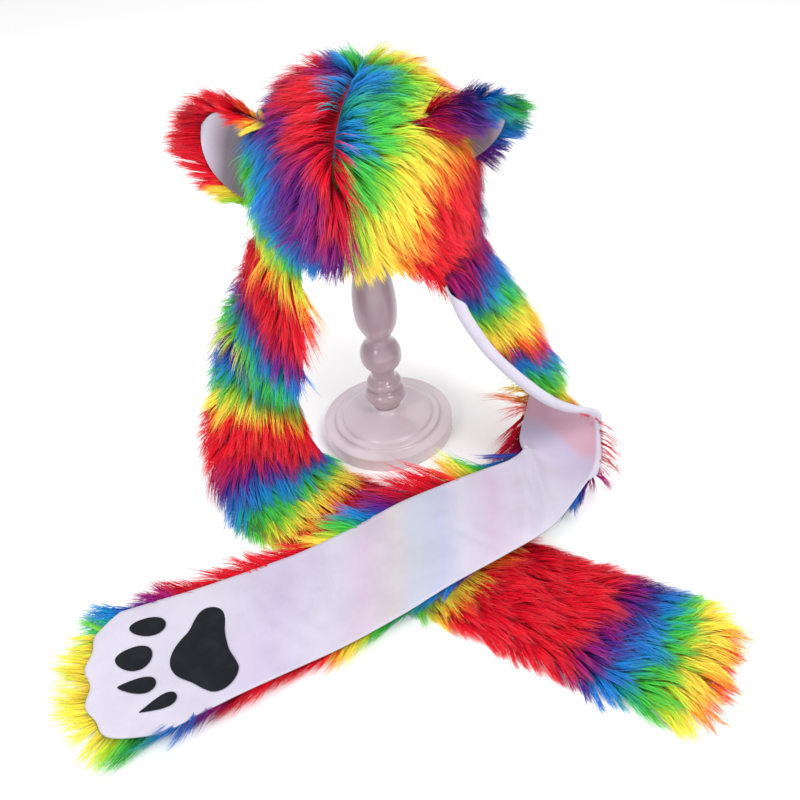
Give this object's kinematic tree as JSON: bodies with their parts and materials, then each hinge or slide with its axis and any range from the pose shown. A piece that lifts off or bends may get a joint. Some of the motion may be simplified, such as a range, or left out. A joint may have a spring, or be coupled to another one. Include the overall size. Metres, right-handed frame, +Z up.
{
  "type": "animal hood scarf and hat stand",
  "caption": "Long-pile rainbow faux-fur animal hood with ears and crossed scarf arms ending in padded paws, shown on its turned hat stand.",
  "frame": {"origin": "centre of the stand's foot, on the surface that it stands on", "axes": "+Z up the post, -Y out of the hood's face opening, +X towards the viewer's right in the picture, which is the side that the over-crossing arm comes down"},
  "size_m": [0.6567, 0.5891, 0.4467],
  "materials": {
    "fur_red": "long rainbow pile, red here",
    "fur_blue": "long rainbow pile, blue here",
    "fur_yellow": "long rainbow pile, yellow here",
    "plush": "short white plush",
    "pad_cloth": "smooth black felt",
    "stand_paint": "satin paint"
  },
  "bodies": {
    "root": {"stand_base": "stand_paint", "stand_post": "stand_paint", "stand_head": "stand_paint", "hood_panel_left": "fur_red", "hood_panel_right": "fur_blue", "hood_lining": "plush", "ear_fur_left": "fur_red", "ear_lining_left": "plush", "ear_fur_right": "fur_blue", "ear_lining_right": "plush", "arm_fur_right": "fur_yellow", "arm_lining_right": "plush", "arm_fur_left": "fur_red", "arm_lining_left": "plush", "main_pad_right": "pad_cloth", "toe_pad_right_1": "pad_cloth", "toe_pad_right_2": "pad_cloth", "toe_pad_right_3": "pad_cloth", "toe_pad_right_4": "pad_cloth", "main_pad_left": "pad_cloth", "toe_pad_left_1": "pad_cloth", "toe_pad_left_2": "pad_cloth", "toe_pad_left_3": "pad_cloth", "toe_pad_left_4": "pad_cloth"}
  },
  "joints": []
}
